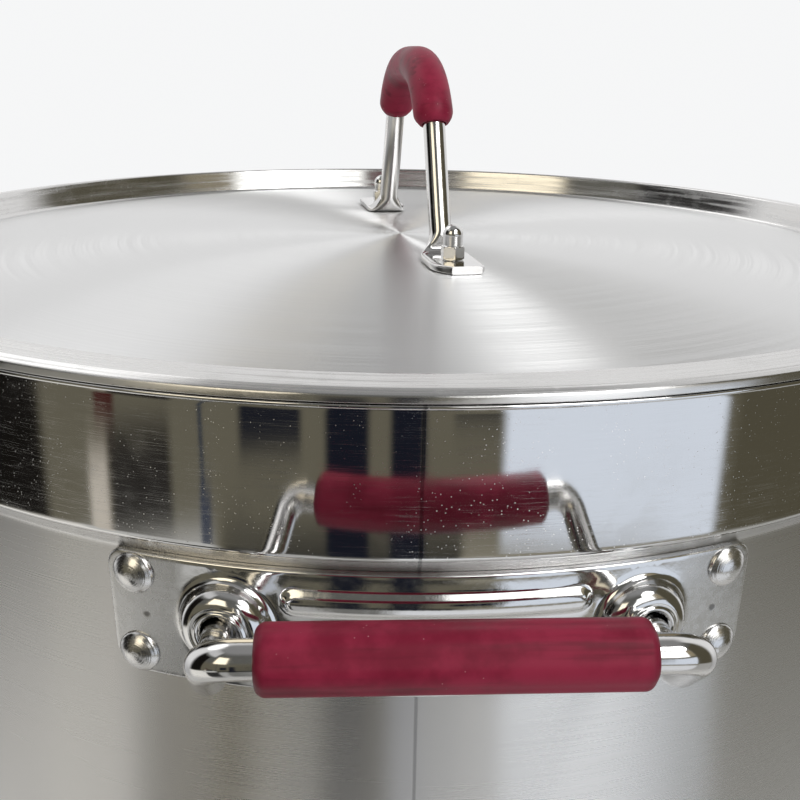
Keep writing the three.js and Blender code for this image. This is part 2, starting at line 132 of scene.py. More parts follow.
# rod and grip of a side handle
ROD_R = 4.6
ROD_HALF = 55.2
ROD_BEND = 8.0
ROD_SEAT = PLATE_OUT + 0.5
ROD_HEAD_R = 7.2
ROD_HEAD_H = 2.2
ROD_START_DZ = -0.6  # from the dome's middle to the bar's, inside and at the crank
CRANK_DZ = 1.8
CRANK_Y = 249.0
CRANK_BEND = 18.0
GRIP_Y = 269.7
GRIP_Z = LID_Z - 46
GRIP_R = 8.1
GRIP_HALF = 44.0
GRIP_END_R = 2.6
GRIP_FACETS = 6
GRIP_FACET_DEPTH = 0.045  # as a share of the radius
# length at each end of a side grip that is painted darker, as painted shade
GRIP_END_SHADE = 4.0

# handle of the lid, in a frame with its feet along Y
LID_TURN = math.radians(8)
LID_HANDLE_OFFSET = 5.2
LID_ROD_R = 4.45
BAR_SEGMENTS = 48
PAD_OUT = 94.0
PAD_HALF_WIDTH = 9.7
PAD_THICK = 3.1
PAD_Z = LID_FLAT + GAP
TOE_LENGTH = 12.0
LEG_FOOT = 59.0
PAD_FLAT = PAD_OUT - LEG_FOOT - 9.0  # length from the toe that is flat
PAD_TO_ROUND = 14.0
LEG_LEAN = math.radians(21)
LEG_START = 8.0
HEEL = 3.2
HEEL_R = 6.0
ARCH_TOP = 73.8
ARCH_R = 38.0
LID_GRIP_R = 8.1
LID_GRIP_BORE_R = LID_ROD_R + 0.5
LID_GRIP_LOW = 52.0
LID_GRIP_TAPER = 5.0
LID_GRIP_TAPER_DEPTH = 2.3

# fasteners of the lid
NUT_S = 80.0
NUT_FLATS = 8.2
NUT_HEX_H = 5.2
NUT_DOME_R = NUT_FLATS / 2 - 0.25
NUT_TOP = 13.2
NUT_SEGMENTS = 96
BOLT_R = 2.5
BOLT_IN_NUT = 8.0
BOLT_HEAD_R = 4.7
BOLT_HEAD_H = 3.2
WASHER_R = 7.5
WASHER_THICK = 1.0
WASHER_TOP = LID_FLAT - LID_SHEET - GAP


# ---- mesh helpers ---------------------------------------------------------------------------
def rounded(corners, radii, step=6.0):
    """Polyline with its inner corners turned into arcs; a radius of 0 leaves a corner sharp."""
    corners = [Vector(c) for c in corners]
    points = [corners[0]]
    for before, corner, after, radius in zip(corners, corners[1:], corners[2:], radii):
        if radius == 0:
            points.append(corner)
            continue
        back = (before - corner).normalized()
        ahead = (after - corner).normalized()
        half = back.angle(ahead) / 2
        turn = math.pi - 2 * half
        centre = corner + (back + ahead).normalized() * (radius / math.sin(half))
        start = corner + back * (radius / math.tan(half)) - centre
        axis = ahead.cross(back).normalized()
        steps = max(2, round(math.degrees(turn) / step))
        for k in range(steps + 1):
            points.append(centre + Quaternion(axis, turn * k / steps) @ start)
    points.append(corners[-1])
    return points


def supported(points, near=0.5):
    """Adds a point close to both ends of each long stretch, so that flats shade flat."""
    result = [points[0]]
    for a, b in zip(points, points[1:]):
        length = (b - a).length
        if length > 4 * near:
            step = (b - a) * (near / length)
            result += [a + step, b - step]
        result.append(b)
    return result


def densified(points, spacing):
    """Cuts each stretch of a path into pieces of about the spacing."""
    result = []
    for a, b in zip(points, points[1:]):
        pieces = max(1, round((b - a).length / spacing))
        result += [a.lerp(b, k / pieces) for k in range(pieces)]
    result.append(points[-1])
    return result


def profile(corners, radii, near=0.5, step=10.0):
    """Half-section in the XZ plane from (radius, height) corners, with rounded corners."""
    points = rounded([(r, 0, z) for r, z in corners], radii, step)
    return [(p.x, p.z) for p in supported(points, near)]


def closed_profile(corners, radii, near=0.5, step=10.0):
    """The same for a body with a bore: the last corner leads back to the first."""
    start = ((corners[0][0] + corners[-1][0]) / 2, (corners[0][1] + corners[-1][1]) / 2)
    points = rounded([(r, 0, z) for r, z in (start, *corners, start)], radii, step)[1:-1]
    return [(p.x, p.z) for p in supported([*points, points[0]], near)[:-1]]


def loft(rings, wrap=False):
    """Vertices and faces of a skin through rings of equal length; open ends get caps."""
    count = len(rings[0])
    vertices = [p for ring in rings for p in ring]
    faces = []
    last = len(rings) if wrap else len(rings) - 1
    for i in range(last):
        a = i * count
        b = (i + 1) % len(rings) * count
        for k in range(count):
            n = (k + 1) % count
            faces.append((a + k, a + n, b + n, b + k))
    if not wrap:
        faces.append(tuple(range(count))[::-1])
        faces.append(tuple(range(len(vertices) - count, len(vertices))))
    return vertices, faces


def turns_of(count):
    """Angles of equally spaced points on a circle."""
    return [2 * math.pi * k / count for k in range(count)]


def turned(points, segments, scale=None):
    """Body of revolution about +Z. Ends on the axis close in a point, else the section wraps."""
    on_axis = points[0][0] < 1e-6
    rim = points[1:-1] if on_axis else points
    rings = []
    for r, z in rim:
        ring = []
        for t in turns_of(segments):
            s = r * (scale(t, r) if scale else 1)
            ring.append(Vector((s * math.cos(t), s * math.sin(t), z)))
        rings.append(ring)
    if not on_axis:
        return loft(rings, wrap=True)
    vertices, faces = loft(rings)
    faces = faces[:-2]
    first = len(vertices)
    vertices += [Vector((0, 0, points[0][1])), Vector((0, 0, points[-1][1]))]
    tail = len(rim) * segments - segments
    for k in range(segments):
        n = (k + 1) % segments
        faces.append((first, n, k))
        faces.append((first + 1, tail + k, tail + n))
    return vertices, faces


def directions(points):
    """Unit vector along a path at each of its points."""
    last = len(points) - 1
    return [(points[min(i + 1, last)] - points[max(i - 1, 0)]).normalized() for i in range(last + 1)]


def frames_along(points):
    """Point, side and upward vectors along a path, carried without twist."""
    tangents = directions(points)
    side = tangents[0].orthogonal().normalized()
    result = []
    for i, (point, tangent) in enumerate(zip(points, tangents)):
        if i:
            side = tangents[i - 1].rotation_difference(tangent) @ side
        side = (side - tangent * side.dot(tangent)).normalized()
        result.append((point, side, tangent.cross(side)))
    return result


def upright_frames(points):
    """Point, side and upward vectors along a path in the YZ plane."""
    sideways = Vector((1, 0, 0))
    return [(p, sideways, Vector((0, -d.z, d.y))) for p, d in zip(points, directions(points))]


def rings_along(frames, radii, count):
    """Circle of points about each point of a path."""
    rings = []
    for (point, side, over), r in zip(frames, radii):
        rings.append([point + (side * math.cos(t) + over * math.sin(t)) * r for t in turns_of(count)])
    return rings


def moved(mesh, matrix):
    vertices, faces = mesh
    return [matrix @ v for v in vertices], faces


def joined(*meshes):
    vertices = []
    faces = []
    for part_vertices, part_faces in meshes:
        offset = len(vertices)
        vertices += part_vertices
        faces += [tuple(i + offset for i in face) for face in part_faces]
    return vertices, faces


def without_loose(vertices, faces):
    """Drops the vertices that no face uses."""
    used = sorted({i for face in faces for i in face})
    order = {old: new for new, old in enumerate(used)}
    return [vertices[i] for i in used], [tuple(order[i] for i in face) for face in faces]


def outward(angle, z):
    """Takes +Z to the outward direction at an angle about +Z from -Y, at a height."""
    turn = Matrix.Rotation(angle, 4, "Z") @ Matrix.Rotation(math.pi / 2, 4, "X")
    return Matrix.Translation((0, 0, z)) @ turn


def blended(a, b, share):
    return a + (b - a) * share


def make(name, mesh, body, nodes, materials, sharp=50.0, pick=None):
    """Object in metres from a mesh in millimetres; pick(centre) gives a face's material."""
    vertices, faces = mesh
    data = bpy.data.meshes.new(name)
    data.from_pydata([v * MM for v in vertices], [], faces)
    for material in materials:
        data.materials.append(material)
    work = bmesh.new()
    work.from_mesh(data)
    bmesh.ops.recalc_face_normals(work, faces=work.faces)
    for face in work.faces:
        face.smooth = True
        if pick:
            face.material_index = pick(face.calc_center_median() / MM)
    for edge in work.edges:
        if len(edge.link_faces) == 2 and edge.calc_face_angle() > math.radians(sharp):
            edge.smooth = False
    work.to_mesh(data)
    work.free()
    thing = bpy.data.objects.new(name, data)
    bpy.context.scene.collection.objects.link(thing)
    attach(thing, body)
    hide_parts(*nodes)
    return thing


# ---- node helpers ---------------------------------------------------------------------------
class Nodes:
    """Adds nodes to a tree; apart from add and put, every method returns an output socket."""

    def __init__(self, tree):
        self.tree = tree

    def add(self, kind, **settings):
        node = self.tree.nodes.new("ShaderNode" + kind)
        for name, value in settings.items():
            setattr(node, name, value)
        return node

    def put(self, value, socket):
        """Sets a socket to a number or an opaque colour, or links an output to it."""
        if isinstance(value, tuple):
            socket.default_value = (*value, 1)
        elif isinstance(value, (int, float)):
            socket.default_value = value
        else:
            self.tree.links.new(value, socket)

    def maths(self, operation, *values):
        node = self.add("Math", operation=operation)
        for value, socket in zip(values, node.inputs):
            self.put(value, socket)
        return node.outputs[0]

    def plus(self, total, *others):
        for other in others:
            total = self.maths("ADD", total, other)
        return total

    def minus(self, first, second):
        return self.maths("SUBTRACT", first, second)

    def times(self, first, second):
        return self.maths("MULTIPLY", first, second)

    def size_of(self, value):
        return self.maths("ABSOLUTE", value)

    def length(self, x, y):
        return self.maths("SQRT", self.plus(self.times(x, x), self.times(y, y)))

    def split(self, vector):
        node = self.add("SeparateXYZ")
        self.put(vector, node.inputs[0])
        return node.outputs

    def noise(self, vector, scale, detail=2.0, roughness=0.5, distortion=0.0):
        node = self.add("TexNoise")
        self.put(vector, node.inputs["Vector"])
        self.put(scale, node.inputs["Scale"])
        self.put(detail, node.inputs["Detail"])
        self.put(roughness, node.inputs["Roughness"])
        self.put(distortion, node.inputs["Distortion"])
        return node.outputs["Fac"]

    def streaks(self, axes, detail, roughness=0.5):
        """Noise over coordinates of its own, each a (value, frequency) pair or None."""
        node = self.add("CombineXYZ")
        for axis, socket in zip(axes, node.inputs):
            if axis:
                self.put(self.times(*axis), socket)
        return self.noise(node.outputs[0], 1.0, detail, roughness)

    def cells(self, vector, scale):
        node = self.add("TexVoronoi")
        self.put(vector, node.inputs["Vector"])
        self.put(scale, node.inputs["Scale"])
        return node.outputs["Distance"]

    def remap(self, value, low, high, to_low=0.0, to_high=1.0):
        """Smooth step from to_low at low to to_high at high."""
        node = self.add("MapRange", interpolation_type="SMOOTHSTEP")
        self.put(value, node.inputs["Value"])
        self.put(low, node.inputs["From Min"])
        self.put(high, node.inputs["From Max"])
        self.put(to_low, node.inputs["To Min"])
        self.put(to_high, node.inputs["To Max"])
        return node.outputs["Result"]

    def spread(self, noise, to_low, to_high):
        """Stretches a noise, which mostly stays between 0.3 and 0.7, over a range."""
        return self.remap(noise, 0.3, 0.7, to_low, to_high)

    def within(self, value, low, high, soft):
        """1 between two values and 0 outside them, with soft ends."""
        above = self.remap(value, low - soft, low + soft)
        below = self.remap(value, high + soft, high - soft)
        return self.times(above, below)

    def colours(self, factor, first, second):
        node = self.add("Mix", data_type="RGBA")
        self.put(factor, node.inputs[0])
        self.put(first, node.inputs[6])
        self.put(second, node.inputs[7])
        return node.outputs[2]

    def bump(self, height, strength, distance, under=None):
        """Normal bent by a height; under is a bump that lies below it."""
        node = self.add("Bump")
        self.put(strength, node.inputs["Strength"])
        self.put(distance, node.inputs["Distance"])
        self.put(height, node.inputs["Height"])
        if under is not None:
            self.put(under, node.inputs["Normal"])
        return node.outputs[0]


class Shader(Nodes):
    """One material on a Principled shader; settings go to the shader's own sockets."""

    def __init__(self, name, **settings):
        self.material = bpy.data.materials.new(name)
        self.material.use_nodes = True
        super().__init__(self.material.node_tree)
        self.principled = self.tree.nodes["Principled BSDF"]
        for socket, value in settings.items():
            self.put(value, self.principled.inputs[socket.replace("_", " ")])
        self.place = self.add("TexCoord").outputs["Object"]

    def around_axis(self):
        """Radius, angle about +Z from -Y, and height, from the object's own coordinates."""
        x, y, z = self.split(self.place)
        angle = self.maths("ARCTAN2", x, self.times(y, -1.0))
        return self.length(x, y), angle, z

    def dust(self, scale, specks, patchy, cover):
        """Specks in small cells, in the places where a patchy noise is high enough."""
        speck = self.remap(self.cells(self.place, scale), *specks, 1.0, 0.0)
        return self.times(speck, self.remap(patchy, *cover))

    def done(self, colour, roughness, normal=None):
        self.put(colour, self.principled.inputs["Base Color"])
        self.put(roughness, self.principled.inputs["Roughness"])
        if normal is not None:
            self.put(normal, self.principled.inputs["Normal"])
        return self.material


def brushed_round(name, anisotropic):
    """Metal brushed in circles about +Z: its shader, then radius, angle and height."""
    s = Shader(name, Metallic=1.0, Anisotropic=anisotropic, Anisotropic_Rotation=0.25)
    tangent = s.add("Tangent", direction_type="RADIAL", axis="Z")
    s.put(tangent.outputs[0], s.principled.inputs["Tangent"])
    return s, *s.around_axis()


def grey(value, warm=0.0):
    return value * (1 + warm), value, value * (1 - warm)


def seam_mask(s, angle, radius):
    """1 on the vertical weld line, 0 away from it."""
    away = s.size_of(s.times(s.minus(angle, SEAM_ANGLE), radius))
    return s.remap(away, SEAM_HALF_WIDTH * MM, SEAM_FADE * MM, 1.0, 0.0)


# ---- materials ------------------------------------------------------------------------------
RASPBERRY_DEEP = (0.19, 0.008, 0.030)
RASPBERRY = (0.30, 0.020, 0.056)
# dark raspberry for the long dark streaks and for the painted shade at the side grips' ends
RASPBERRY_STREAK_AND_SHADE = (0.09, 0.004, 0.014)
PINK_DUST = (0.7, 0.45, 0.48)


def barrel_steel():
    """Satin barrel: fine brushing round the pot, so that reflections smear up and down."""
    s, radius, angle, z = brushed_round("barrel_satin_steel", anisotropic=1.0)
    fine = s.streaks([(angle, 3.0), None, (z, 2400.0)], detail=3.0)
    broad = s.streaks([(angle, 1.6), None, (z, 3.0)], detail=2.0)
    weld = seam_mask(s, angle, radius)
    tone = s.colours(fine, grey(0.65, 0.01), grey(0.75, 0.01))
    tone = s.colours(s.times(weld, 0.55), tone, grey(0.25))
    rough = s.plus(s.spread(broad, 0.21, 0.26), s.times(fine, 0.06))
    return s.done(tone, rough, s.bump(fine, strength=0.02, distance=0.00004))


def band_steel():
    """Polished band: a mirror under a haze of fine lines round it, with smudges and dust."""
    s, radius, angle, z = brushed_round("band_polished_steel", anisotropic=0.95)
    lines = s.streaks([(angle, 14.0), None, (z, 8000.0)], detail=2.0)
    haze = s.streaks([(angle, 2.5), None, (z, 30.0)], detail=3.0)
    smudge = s.noise(s.place, scale=26.0, detail=4.0, roughness=0.6, distortion=0.4)
    patchy = s.noise(s.place, scale=40.0, detail=3.0, roughness=0.7)
    dust = s.dust(scale=820.0, specks=(0.08, 0.16), patchy=patchy, cover=(0.42, 0.56))
    weld = seam_mask(s, angle, radius)
    tone = s.colours(lines, grey(0.64, 0.01), grey(0.72, 0.01))
    tone = s.colours(s.times(weld, 0.6), tone, grey(0.2))
    tone = s.colours(dust, tone, grey(0.85))
    brushed = s.remap(s.plus(lines, s.times(haze, 0.25)), 0.66, 0.92, 0.0, 0.18)
    smudged = s.times(s.remap(smudge, 0.52, 0.72), 0.05)
    rough = s.plus(brushed, smudged, 0.05, s.times(dust, 0.4))
    return s.done(tone, rough, s.bump(s.minus(lines, weld), strength=0.03, distance=0.00005))


def lid_steel():
    """Lid face: circular brushing about the centre, with rays where the light meets it."""
    s, radius, angle, _ = brushed_round("lid_brushed_steel", anisotropic=1.0)
    rings = s.streaks([(radius, 1500.0), (angle, 1.2), None], detail=3.0)
    broad = s.streaks([(radius, 60.0), (angle, 0.6), None], detail=2.0)
    tone = s.colours(rings, grey(0.66), grey(0.82))
    rough = s.plus(s.spread(rings, 0.30, 0.40), s.times(broad, 0.03))
    return s.done(tone, rough, s.bump(rings, strength=0.06, distance=0.00004))


def bead_steel():
    """Wall, land and bead of the lid: polished along its length, with a soft haze across."""
    s, radius, angle, _ = brushed_round("bead_polished_steel", anisotropic=0.9)
    lines = s.streaks([(angle, 3.0), None, (radius, 2400.0)], detail=2.0)
    marks = s.remap(s.noise(s.place, scale=90.0, detail=4.0, roughness=0.7), 0.5, 0.7)
    outside = s.remap(radius, LAND_R * MM, (LAND_R + LAND_FADE) * MM, 0.0, 0.03)
    tone = s.colours(lines, grey(0.64, 0.01), grey(0.74, 0.01))
    rough = s.plus(s.remap(lines, 0.4, 0.7, 0.14, 0.34), s.times(marks, 0.06), outside)
    return s.done(tone, rough, s.bump(lines, strength=0.05, distance=0.00004))


def polished_steel():
    """Bars, nuts, bolts and washers: bright polish with faint handling marks."""
    s = Shader("polished_steel", Metallic=1.0)
    marks = s.noise(s.place, scale=160.0, detail=4.0, roughness=0.6)
    tone = s.colours(marks, grey(0.62, 0.01), grey(0.72, 0.01))
    rough = s.remap(marks, 0.35, 0.75, 0.09, 0.18)
    return s.done(tone, rough, s.bump(marks, strength=0.03, distance=0.0002))


def plate_steel():
    """Pressed handle plate: polished in the middle, with satin ends and a spot weld in each."""
    s = Shader("plate_polished_steel", Metallic=1.0)
    x, _, z = s.split(s.place)
    across = s.size_of(x)
    wave = s.noise(s.place, scale=45.0, detail=1.0)
    grain = s.noise(s.place, scale=420.0, detail=3.0, roughness=0.6)
    satin = s.remap(across, SATIN_FROM * MM, SATIN_BY * MM)
    reach = s.length(s.minus(across, SPOT_WELD_X * MM), s.minus(z, PLATE_Z * MM))
    ragged = s.plus(reach, s.times(grain, 0.0016))
    pit = s.remap(ragged, SPOT_WELD_R * MM, SPOT_WELD_FADE * MM, 1.0, 0.0)
    tone = s.colours(grain, grey(0.64, 0.006), grey(0.74, 0.006))
    tone = s.colours(s.times(pit, 0.75), tone, grey(0.12, 0.05))
    polish = s.remap(grain, 0.3, 0.75, 0.07, 0.15)
    rough = s.plus(polish, s.times(satin, 0.16), s.times(pit, 0.2))
    dents = s.bump(s.minus(grain, s.times(pit, 2.0)), strength=0.05, distance=0.0003)
    return s.done(tone, rough, s.bump(wave, strength=0.08, distance=0.002, under=dents))


def rivet_steel():
    """Rivet heads: satin, with faint rings round the middle from the setting tool."""
    s = Shader("rivet_satin_steel", Metallic=1.0)
    x, _, z = s.split(s.place)
    middle_x = (PLATE_OUT + RIVET_HEAD_H) * math.sin(RIVET_ANGLE)
    beside = s.maths("DIVIDE", s.minus(s.size_of(x), middle_x * MM), math.cos(RIVET_ANGLE))
    above = s.minus(s.size_of(s.minus(z, PLATE_Z * MM)), RIVET_DZ * MM)
    rings = s.streaks([(s.length(beside, above), 1100.0), None, None], detail=2.0)
    marks = s.noise(s.place, scale=700.0, detail=3.0, roughness=0.7)
    tone = s.colours(marks, grey(0.60, 0.01), grey(0.74, 0.01))
    pitted = s.bump(marks, strength=0.12, distance=0.0002)
    normal = s.bump(rings, strength=0.35, distance=0.0004, under=pitted)
    return s.done(tone, s.spread(marks, 0.16, 0.28), normal)


def silicone():
    """Raspberry silicone: soft sheen, mottling, long dark streaks, painted shade at the ends, dust."""
    s = Shader("raspberry_silicone", Specular_IOR_Level=0.2)
    x, y, z = s.split(s.place)
    mottle = s.noise(s.place, scale=70.0, detail=4.0, roughness=0.6)
    grain = s.noise(s.place, scale=900.0, detail=2.0)
    # long dark streaks along the grip, from stretched noise
    streak_noise = s.streaks([(x, 14.0), (y, 160.0), (z, 260.0)], detail=3.0, roughness=0.6)
    dark_streaks = s.times(s.remap(streak_noise, 0.52, 0.68), 0.5)
    # painted shade: the side grips turn darker towards their ends
    ends = s.remap(s.size_of(x), (GRIP_HALF - GRIP_END_SHADE) * MM, GRIP_HALF * MM)
    patchy = s.noise(s.place, scale=60.0, detail=1.0)
    dust = s.dust(scale=420.0, specks=(0.04, 0.08), patchy=patchy, cover=(0.46, 0.56))
    tone = s.colours(s.remap(mottle, 0.35, 0.65), RASPBERRY_DEEP, RASPBERRY)
    # the dark streaks and the painted shade at the ends both mix in the dark raspberry
    tone = s.colours(s.maths("MAXIMUM", dark_streaks, s.times(ends, 0.6)), tone, RASPBERRY_STREAK_AND_SHADE)
    tone = s.colours(s.times(dust, 0.45), tone, PINK_DUST)
    return s.done(tone, s.spread(mottle, 0.40, 0.52), s.bump(grain, strength=0.12, distance=0.00015))


def core_aluminium():
    """Rolled aluminium of the base core, under its dish."""
    s = Shader("core_aluminium", Metallic=1.0)
    grain = s.noise(s.place, scale=300.0, detail=3.0)
    return s.done(s.colours(grain, grey(0.55), grey(0.68)), s.spread(grain, 0.35, 0.55))


# ---- pot ------------------------------------------------------------------------------------
def pot_outline():
    """Half-section of the pot's sheet, from the floor's upper side round to its lower."""
    foot = RIM_Z - BAND_DEPTH
    low = foot - JOGGLE
    corners = [  # radius, height, bend
        (BARREL_R - WALL, FLOOR_Z + WALL, CORNER_R - WALL),
        (BARREL_R - WALL, low + JOGGLE_INSIDE_UP, JOGGLE_LOW_R),
        (BAND_R - WALL, foot + JOGGLE_INSIDE_UP, JOGGLE_HIGH_R),
        (BAND_R - WALL, RIM_Z, FLANGE_BEND_R + WALL),
        (RIM_R, RIM_Z, FLANGE_EDGE_R),
        (RIM_R, RIM_Z - WALL, FLANGE_EDGE_R),
        (BAND_R, RIM_Z - WALL, FLANGE_BEND_R),
        (BAND_R, foot, JOGGLE_HIGH_R),
        (BARREL_R, low, JOGGLE_LOW_R),
        (BARREL_R, FLOOR_Z, CORNER_R),
    ]
    path = [(0, FLOOR_Z + WALL), *[(r, z) for r, z, _ in corners], (0, FLOOR_Z)]
    return profile(path, [bend for _, _, bend in corners], near=1.0)


def make_pot(materials):
    polished_above = RIM_Z - BAND_DEPTH - POLISH_BELOW_BAND

    def pick(centre):
        return 1 if centre.z > polished_above else 0

    mesh = turned(pot_outline(), SEGMENTS)
    return make("pot_body", mesh, "pot", ["pot_shell"], materials, pick=pick)


def make_base(material):
    inner = CAP_R - CAP_SHEET
    corners = [
        (0, CAP_SHEET), (inner, CAP_SHEET), (inner, CAP_TOP), (CAP_R, CAP_TOP), (CAP_R, 0), (0, 0),
    ]
    lip_inside = 0.2
    lip_outside = 0.3
    radii = [CAP_CORNER_R - CAP_SHEET, lip_inside, lip_outside, CAP_CORNER_R]
    mesh = turned(profile(corners, radii), SEGMENTS)
    return make("base_dish", mesh, "pot", ["base_cap"], [material])


# ---- side handles ---------------------------------------------------------------------------
# rings of the plate's pressings, from the outside in, each with its height over the flat: a
# dome's rings by radius, the rib's by how far outside it they lie, the edge's by inset
DOME_FACE = [
    (16.0, 0.0), (15.0, 0.03), (14.2, 0.15), (13.5, 0.5), (12.9, 1.2), (12.5, 2.1), (12.1, 3.1),
    (11.5, 4.1), (10.7, 5.0), (9.8, 5.6), (8.9, 5.95), (8.2, 6.1), (7.8, 6.05), (7.5, 5.95),
    (7.25, 6.05), (7.0, 6.4), (6.7, 6.6), (6.35, 6.6), (6.0, 6.4), (5.7, 6.1), (DOME_HOLE_R, 5.7),
]
RIB_FACE = [(1.6, 0.0), (0.9, 0.1), (0.2, 0.45), (-0.5, 1.0), (-1.2, 1.4), (-2.0, RIB_DEPTH)]
EDGE_FACE = [(0.0, -0.8), (0.08, -0.45), (0.25, -0.2), (0.5, -0.05), (0.8, 0.0), (1.6, 0.0)]

# middles on the flat plate: along the arc, and height
DOMES = [(side * PLATE_OUT * DOME_ANGLE, DOME_Z) for side in (-1, 1)]
RIVETS = [(side * PLATE_OUT * RIVET_ANGLE, PLATE_Z + dz) for side in (-1, 1) for dz in (-RIVET_DZ, RIVET_DZ)]


def circle(x, y, r, count):
    return [(x + r * math.cos(t), y + r * math.sin(t)) for t in turns_of(count)]


def edge_loop(inset):
    """Outline of the flat plate, moved inward."""
    w = PLATE_OUT * PLATE_HALF_ANGLE - inset
    h = PLATE_HALF_HEIGHT - inset
    low_w = w - PLATE_LEAN
    corners = [(0, 0, h), (w, 0, h), (low_w, 0, -h), (-low_w, 0, -h), (-w, 0, h), (0, 0, h)]
    upper = PLATE_UPPER_R - inset
    lower = PLATE_LOWER_R - inset
    points = rounded(corners, [upper, lower, lower, upper], step=9.0)
    return [(p.x, PLATE_Z + p.z) for p in densified(points, 2.5)[:-1]]


def rib_loop(grow):
    """Outline of the rib on the flat plate, moved outward."""
    r = RIB_HALF_HEIGHT + grow
    z = PLATE_Z + RIB_DZ
    end_steps = 10
    side_steps = 30
    right = []
    for k in range(end_steps + 1):
        t = math.pi * k / end_steps
        right.append((RIB_FLAT + r * math.sin(t), z + r * math.cos(t)))
    bottom = [(RIB_FLAT - 2 * RIB_FLAT * k / side_steps, z - r) for k in range(1, side_steps)]
    half = right + bottom
    return half + [(-x, 2 * z - y) for x, y in half]


def plate_loops():
    """Rings of points on the flat plate, each with its height; the outer edge is the first."""
    loops = [(edge_loop(inset), height) for inset, height in EDGE_FACE]
    for x, z in DOMES:
        loops += [(circle(x, z, r, 56), height) for r, height in DOME_FACE]
    loops += [(rib_loop(grow), height) for grow, height in RIB_FACE]
    for x, z in RIVETS:
        loops += [(circle(x, z, r, 20), 0.0) for r in (RIVET_HOLE_R, RIVET_HOLE_R + 1.4)]
    return loops


def nearest(x, z, spots):
    return min(math.hypot(x - sx, z - sz) for sx, sz in spots)


def plate_grid():
    """Points between the rings of the flat plate, well clear of all of them."""
    side_clear = 3.0
    edge_clear = 2.2
    corner_width = 9.0
    corner_height = 8.0
    dome_clear = 17.0
    rivet_clear = 5.4
    rib_clear = 6.0
    half_width = PLATE_OUT * PLATE_HALF_ANGLE
    columns = int(half_width / PLATE_PITCH)
    rows = int(PLATE_HALF_HEIGHT / PLATE_PITCH)
    points = []
    for i in range(-columns, columns + 1):
        for j in range(-rows, rows + 1):
            x = i * PLATE_PITCH
            dz = j * PLATE_PITCH
            z = PLATE_Z + dz
            from_side = half_width - abs(x)
            from_edge = PLATE_HALF_HEIGHT - abs(dz)
            from_rib = math.hypot(max(abs(x) - RIB_FLAT, 0), dz - RIB_DZ)
            inside = from_side > side_clear and from_edge > edge_clear
            in_corner = from_side < corner_width and from_edge < corner_height
            clear = nearest(x, z, DOMES) >= dome_clear and nearest(x, z, RIVETS) >= rivet_clear
            if inside and not in_corner and clear and from_rib > rib_clear:
                points.append((x, z))
    return points


def bent(x, z, height):
    """Point of the flat plate, laid round the barrel."""
    r = PLATE_OUT + height
    angle = x / PLATE_OUT
    return Vector((r * math.sin(angle), -r * math.cos(angle), z))


def plate_mesh():
    """Sheet plate on the barrel, with pressed domes and rib, made flat and then bent round."""
    loops = plate_loops() + [(plate_grid(), 0.0)]
    points = [Vector(p) for loop, _ in loops for p in loop]
    heights = [height for loop, height in loops for _ in loop]
    count = len(loops[0][0])
    border = [(k, (k + 1) % count) for k in range(count)]
    flat, _, faces, sources, _, _ = delaunay_2d_cdt(points, border, [], 1, 1e-4)
    height_of = [heights[ids[0]] for ids in sources]
    hole_edge = 0.05  # a face in a hole has its middle at least this far inside

    def in_hole(face):
        x = sum(flat[i].x for i in face) / len(face)
        z = sum(flat[i].y for i in face) / len(face)
        in_dome = nearest(x, z, DOMES) < DOME_HOLE_R - hole_edge
        return in_dome or nearest(x, z, RIVETS) < RIVET_HOLE_R - hole_edge

    faces = [tuple(face) for face in faces if not in_hole(face)]
    pressing = 0.97  # share of a pressing's height that shows on the back
    front = [bent(p.x, p.y, h) for p, h in zip(flat, height_of)]
    back = [bent(p.x, p.y, max(h, 0.0) * pressing - PLATE_SHEET) for p, h in zip(flat, height_of)]
    total = len(front)
    edges = [edge for face in faces for edge in zip(face, face[1:] + face[:1])]
    known = set(edges)
    walls = [(b, a, a + total, b + total) for a, b in edges if (b, a) not in known]
    backs = [tuple(i + total for i in reversed(face)) for face in faces]
    return without_loose(front + back, faces + backs + walls)


def handle_rod_mesh():
    """Round bar, cranked upward outside each dome, with an upset head inside it."""
    hole_x = -(PLATE_OUT + DOME_HEIGHT) * math.sin(DOME_ANGLE)
    seat_y = -ROD_SEAT * math.cos(DOME_ANGLE)
    half = [
        Vector((hole_x, seat_y - 1, DOME_Z + ROD_START_DZ)),
        Vector((hole_x + 0.5, -CRANK_Y, DOME_Z + CRANK_DZ)),
        Vector((-ROD_HALF, -GRIP_Y, GRIP_Z)),
    ]
    corners = half + [Vector((-p.x, p.y, p.z)) for p in reversed(half)]
    path = supported(rounded(corners, [CRANK_BEND, ROD_BEND, ROD_BEND, CRANK_BEND], step=5.0))
    bar = rings_along(frames_along(path), [ROD_R] * len(path), BAR_SEGMENTS)
    parts = [loft(bar)]
    head = profile([(0, ROD_HEAD_H), (ROD_HEAD_R, ROD_HEAD_H), (ROD_HEAD_R, 0), (0, 0)], [0.5, 0.5])
    for side in (-1, 1):
        place = outward(side * DOME_ANGLE, DOME_Z) @ Matrix.Translation((0, 0, ROD_SEAT))
        parts.append(moved(turned(head, 48), place))
    return joined(*parts)


def grip_mesh():
    """Silicone sleeve: softly faceted along its length, rounded at the ends."""
    bore = ROD_R + GAP
    corners = [(bore, GRIP_HALF), (GRIP_R, GRIP_HALF), (GRIP_R, -GRIP_HALF), (bore, -GRIP_HALF)]
    outline = closed_profile(corners, [0, GRIP_END_R, GRIP_END_R, 0], near=1.0, step=9.0)

    def facets(angle, r):
        if r < bore + 1:
            return 1.0
        soft = 0.5 + 0.5 * math.cos(GRIP_FACETS * angle)
        return 1.0 - GRIP_FACET_DEPTH * soft ** 2

    along = Matrix.Translation((0, -GRIP_Y, GRIP_Z)) @ Matrix.Rotation(math.pi / 2, 4, "Y")
    return moved(turned(outline, 96, facets), along)


